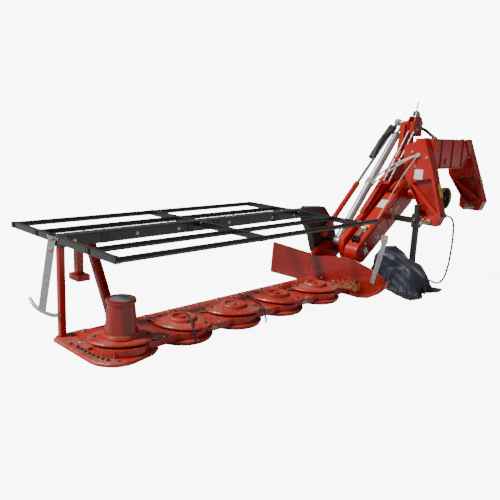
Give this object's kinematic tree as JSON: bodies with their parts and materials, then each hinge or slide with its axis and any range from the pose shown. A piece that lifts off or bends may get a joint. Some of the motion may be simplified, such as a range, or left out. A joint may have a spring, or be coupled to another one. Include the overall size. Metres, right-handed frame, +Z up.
{
  "type": "disc mower",
  "caption": "Side-mounted tractor disc mower: flat cutter bar with oval knife discs under a folding guard frame, belt-driven carrier arm and three-point headstock.",
  "frame": {"origin": "bottom centre of the bounding box, on the ground", "axes": "+X along the cutter bar from its outer end to the headstock, -Y the driving direction, +Z up"},
  "size_m": [4.0902, 1.4606, 1.5819],
  "materials": {
    "red_paint": "orange-red gloss paint, weathered and scuffed",
    "worn_steel": "bare steel with rust and crop stain",
    "grey_cap": "faded grey plastic",
    "galvanised": "dull spangled zinc",
    "black_paint": "black satin paint, dusty",
    "chrome_rod": "polished chrome",
    "yellow_plastic": "sun-faded yellow plastic",
    "guard_cloth": "dark blue coated cloth, creased",
    "black_rubber": "matt black rubber"
  },
  "bodies": {
    "headstock": {"hitch_leg_near": "red_paint", "hitch_leg_far": "red_paint", "hitch_beam": "red_paint", "hitch_pin_near": "galvanised", "hitch_pin_far_inner": "galvanised", "hitch_pin_far_outer": "galvanised", "shaft_housing": "red_paint", "shaft_cup": "yellow_plastic", "shaft_stub": "worn_steel", "stand_sleeve": "black_paint", "guard_cloth": "guard_cloth", "lift_hose": "black_rubber", "hose_clip": "galvanised", "hose_coupling": "galvanised"},
    "stand": {"stand_post": "black_paint"},
    "carrier": {"carrier_arm": "red_paint", "belt_guard": "red_paint", "belt_spacer": "red_paint", "mast_head": "red_paint", "mast_pin": "galvanised", "latch_lever": "galvanised", "spring_tube": "galvanised", "spring_rod": "galvanised"},
    "fold": {"cutter_bar": "red_paint", "skid_2": "red_paint", "skid_3": "red_paint", "skid_4": "red_paint", "skid_5": "red_paint", "outer_shoe": "red_paint", "divider": "red_paint", "inner_shoe": "red_paint", "gearbox": "red_paint", "shoe_bar": "galvanised", "guard_beam": "black_paint", "guard_arm": "black_paint", "outer_leg": "red_paint", "outer_brace": "red_paint", "beam_bracket": "red_paint", "hanger_bar": "galvanised"},
    "disc_1": {"disc_1": "red_paint", "knives_1": "worn_steel", "crop_cone": "red_paint", "cone_cap": "grey_cap"},
    "disc_2": {"disc_2": "red_paint", "knives_2": "worn_steel"},
    "disc_3": {"disc_3": "red_paint", "knives_3": "worn_steel"},
    "disc_4": {"disc_4": "red_paint", "knives_4": "worn_steel"},
    "disc_5": {"disc_5": "red_paint", "knives_5": "worn_steel"},
    "front_guard": {"front_guard": "black_paint"},
    "rear_guard": {"rear_guard": "black_paint"},
    "lift_barrel": {"lift_barrel": "red_paint"},
    "lift_rod": {"lift_rod": "chrome_rod"}
  },
  "joints": [
    {"name": "stand_slide", "type": "slide", "parent": "headstock", "child": "stand", "axis": [0, 0, 1], "range_m": [0, 0.25]},
    {"name": "carrier_float", "type": "hinge", "parent": "headstock", "child": "carrier", "pos_m": [1.23483, -0.04479, 0.76], "axis": [0, 1, 0], "range_deg": [-8, 10]},
    {"name": "bar_fold", "type": "hinge", "parent": "carrier", "child": "fold", "pos_m": [0.56483, -0.04479, 0.28], "axis": [0, 1, 0], "range_deg": [-8, 78]},
    {"name": "disc_1_spin", "type": "hinge", "parent": "fold", "child": "disc_1", "pos_m": [-1.81517, -0.20729, 0.1], "axis": [0, 0, 1], "continuous": true},
    {"name": "disc_2_spin", "type": "hinge", "parent": "fold", "child": "disc_2", "pos_m": [-1.37517, -0.20729, 0.1], "axis": [0, 0, 1], "continuous": true},
    {"name": "disc_3_spin", "type": "hinge", "parent": "fold", "child": "disc_3", "pos_m": [-0.93517, -0.20729, 0.1], "axis": [0, 0, 1], "continuous": true},
    {"name": "disc_4_spin", "type": "hinge", "parent": "fold", "child": "disc_4", "pos_m": [-0.49517, -0.20729, 0.1], "axis": [0, 0, 1], "continuous": true},
    {"name": "disc_5_spin", "type": "hinge", "parent": "fold", "child": "disc_5", "pos_m": [-0.05517, -0.20729, 0.1], "axis": [0, 0, 1], "continuous": true},
    {"name": "front_guard_hinge", "type": "hinge", "parent": "fold", "child": "front_guard", "pos_m": [-0.96517, 0.10371, 0.63], "axis": [-1, 0, 0], "range_deg": [0, 105]},
    {"name": "rear_guard_hinge", "type": "hinge", "parent": "fold", "child": "rear_guard", "pos_m": [-0.96517, 0.22171, 0.63], "axis": [1, 0, 0], "range_deg": [0, 75]},
    {"name": "lift_barrel_swing", "type": "hinge", "parent": "fold", "child": "lift_barrel", "pos_m": [0.40483, 0.08871, 0.43], "axis": [0, 1, 0], "range_deg": [-88, 12]},
    {"name": "lift_rod_slide", "type": "slide", "parent": "lift_barrel", "child": "lift_rod", "axis": [0.7315, 0, 0.6818], "range_m": [-0.23, 0.03]}
  ],
  "couplings": [
    {"joint": "disc_2_spin", "follows": "disc_1_spin", "ratio": -1},
    {"joint": "disc_3_spin", "follows": "disc_1_spin", "ratio": 1},
    {"joint": "disc_4_spin", "follows": "disc_1_spin", "ratio": -1},
    {"joint": "disc_5_spin", "follows": "disc_1_spin", "ratio": 1},
    {"joint": "lift_barrel_swing", "follows": "bar_fold", "ratio": -1.098},
    {"joint": "lift_rod_slide", "follows": "bar_fold", "m_per_rad": -0.158}
  ]
}
